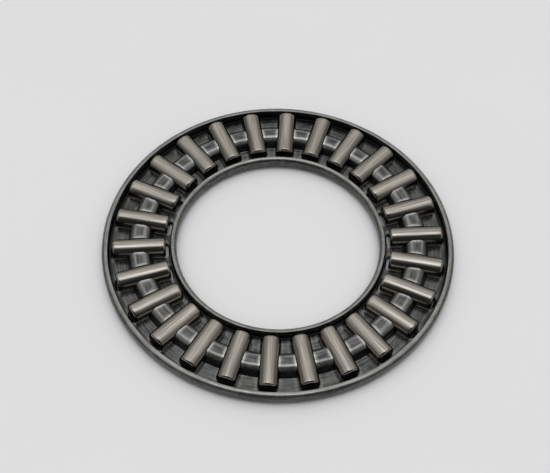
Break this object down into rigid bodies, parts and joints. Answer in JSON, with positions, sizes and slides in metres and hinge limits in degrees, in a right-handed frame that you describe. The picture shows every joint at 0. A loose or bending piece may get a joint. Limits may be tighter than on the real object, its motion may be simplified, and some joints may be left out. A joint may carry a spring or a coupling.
{
  "type": "axial needle roller thrust bearing",
  "caption": "Flat needle roller and cage thrust bearing: a pressed W-section steel ring holding radial needle rollers in pockets.",
  "frame": {"origin": "on the bearing axis, in the lower raceway plane that the rollers roll on", "axes": "+Z along the bearing axis, from the lower raceway to the upper one; +X along the first roller"},
  "size_m": [0.0348, 0.0348, 0.002],
  "materials": {
    "cage_steel": "dark oiled pressed steel, burnished on the ridge and the rims",
    "roller_steel": "satin ground bearing steel"
  },
  "bodies": {
    "cage": {"cage": "cage_steel"},
    "roller_01": {"roller_01": "roller_steel"},
    "roller_02": {"roller_02": "roller_steel"},
    "roller_03": {"roller_03": "roller_steel"},
    "roller_04": {"roller_04": "roller_steel"},
    "roller_05": {"roller_05": "roller_steel"},
    "roller_06": {"roller_06": "roller_steel"},
    "roller_07": {"roller_07": "roller_steel"},
    "roller_08": {"roller_08": "roller_steel"},
    "roller_09": {"roller_09": "roller_steel"},
    "roller_10": {"roller_10": "roller_steel"},
    "roller_11": {"roller_11": "roller_steel"},
    "roller_12": {"roller_12": "roller_steel"},
    "roller_13": {"roller_13": "roller_steel"},
    "roller_14": {"roller_14": "roller_steel"},
    "roller_15": {"roller_15": "roller_steel"},
    "roller_16": {"roller_16": "roller_steel"},
    "roller_17": {"roller_17": "roller_steel"},
    "roller_18": {"roller_18": "roller_steel"},
    "roller_19": {"roller_19": "roller_steel"},
    "roller_20": {"roller_20": "roller_steel"},
    "roller_21": {"roller_21": "roller_steel"},
    "roller_22": {"roller_22": "roller_steel"},
    "roller_23": {"roller_23": "roller_steel"},
    "roller_24": {"roller_24": "roller_steel"},
    "roller_25": {"roller_25": "roller_steel"},
    "roller_26": {"roller_26": "roller_steel"}
  },
  "joints": [
    {"name": "roller_01_spin", "type": "hinge", "parent": "cage", "child": "roller_01", "pos_m": [0.0137, 0, 0.001], "axis": [1, 0, 0], "continuous": true},
    {"name": "roller_02_spin", "type": "hinge", "parent": "cage", "child": "roller_02", "pos_m": [0.0133, 0.00328, 0.001], "axis": [0.9709, 0.2393, 0], "continuous": true},
    {"name": "roller_03_spin", "type": "hinge", "parent": "cage", "child": "roller_03", "pos_m": [0.01213, 0.00637, 0.001], "axis": [0.8855, 0.4647, 0], "continuous": true},
    {"name": "roller_04_spin", "type": "hinge", "parent": "cage", "child": "roller_04", "pos_m": [0.01025, 0.00908, 0.001], "axis": [0.7485, 0.6631, 0], "continuous": true},
    {"name": "roller_05_spin", "type": "hinge", "parent": "cage", "child": "roller_05", "pos_m": [0.00778, 0.01127, 0.001], "axis": [0.5681, 0.823, 0], "continuous": true},
    {"name": "roller_06_spin", "type": "hinge", "parent": "cage", "child": "roller_06", "pos_m": [0.00486, 0.01281, 0.001], "axis": [0.3546, 0.935, 0], "continuous": true},
    {"name": "roller_07_spin", "type": "hinge", "parent": "cage", "child": "roller_07", "pos_m": [0.00165, 0.0136, 0.001], "axis": [0.1205, 0.9927, 0], "continuous": true},
    {"name": "roller_08_spin", "type": "hinge", "parent": "cage", "child": "roller_08", "pos_m": [-0.00165, 0.0136, 0.001], "axis": [-0.1205, 0.9927, 0], "continuous": true},
    {"name": "roller_09_spin", "type": "hinge", "parent": "cage", "child": "roller_09", "pos_m": [-0.00486, 0.01281, 0.001], "axis": [-0.3546, 0.935, 0], "continuous": true},
    {"name": "roller_10_spin", "type": "hinge", "parent": "cage", "child": "roller_10", "pos_m": [-0.00778, 0.01127, 0.001], "axis": [-0.5681, 0.823, 0], "continuous": true},
    {"name": "roller_11_spin", "type": "hinge", "parent": "cage", "child": "roller_11", "pos_m": [-0.01025, 0.00908, 0.001], "axis": [-0.7485, 0.6631, 0], "continuous": true},
    {"name": "roller_12_spin", "type": "hinge", "parent": "cage", "child": "roller_12", "pos_m": [-0.01213, 0.00637, 0.001], "axis": [-0.8855, 0.4647, 0], "continuous": true},
    {"name": "roller_13_spin", "type": "hinge", "parent": "cage", "child": "roller_13", "pos_m": [-0.0133, 0.00328, 0.001], "axis": [-0.9709, 0.2393, 0], "continuous": true},
    {"name": "roller_14_spin", "type": "hinge", "parent": "cage", "child": "roller_14", "pos_m": [-0.0137, 0, 0.001], "axis": [-1, 0, 0], "continuous": true},
    {"name": "roller_15_spin", "type": "hinge", "parent": "cage", "child": "roller_15", "pos_m": [-0.0133, -0.00328, 0.001], "axis": [-0.9709, -0.2393, 0], "continuous": true},
    {"name": "roller_16_spin", "type": "hinge", "parent": "cage", "child": "roller_16", "pos_m": [-0.01213, -0.00637, 0.001], "axis": [-0.8855, -0.4647, 0], "continuous": true},
    {"name": "roller_17_spin", "type": "hinge", "parent": "cage", "child": "roller_17", "pos_m": [-0.01025, -0.00908, 0.001], "axis": [-0.7485, -0.6631, 0], "continuous": true},
    {"name": "roller_18_spin", "type": "hinge", "parent": "cage", "child": "roller_18", "pos_m": [-0.00778, -0.01127, 0.001], "axis": [-0.5681, -0.823, 0], "continuous": true},
    {"name": "roller_19_spin", "type": "hinge", "parent": "cage", "child": "roller_19", "pos_m": [-0.00486, -0.01281, 0.001], "axis": [-0.3546, -0.935, 0], "continuous": true},
    {"name": "roller_20_spin", "type": "hinge", "parent": "cage", "child": "roller_20", "pos_m": [-0.00165, -0.0136, 0.001], "axis": [-0.1205, -0.9927, 0], "continuous": true},
    {"name": "roller_21_spin", "type": "hinge", "parent": "cage", "child": "roller_21", "pos_m": [0.00165, -0.0136, 0.001], "axis": [0.1205, -0.9927, 0], "continuous": true},
    {"name": "roller_22_spin", "type": "hinge", "parent": "cage", "child": "roller_22", "pos_m": [0.00486, -0.01281, 0.001], "axis": [0.3546, -0.935, 0], "continuous": true},
    {"name": "roller_23_spin", "type": "hinge", "parent": "cage", "child": "roller_23", "pos_m": [0.00778, -0.01127, 0.001], "axis": [0.5681, -0.823, 0], "continuous": true},
    {"name": "roller_24_spin", "type": "hinge", "parent": "cage", "child": "roller_24", "pos_m": [0.01025, -0.00908, 0.001], "axis": [0.7485, -0.6631, 0], "continuous": true},
    {"name": "roller_25_spin", "type": "hinge", "parent": "cage", "child": "roller_25", "pos_m": [0.01213, -0.00637, 0.001], "axis": [0.8855, -0.4647, 0], "continuous": true},
    {"name": "roller_26_spin", "type": "hinge", "parent": "cage", "child": "roller_26", "pos_m": [0.0133, -0.00328, 0.001], "axis": [0.9709, -0.2393, 0], "continuous": true}
  ]
}
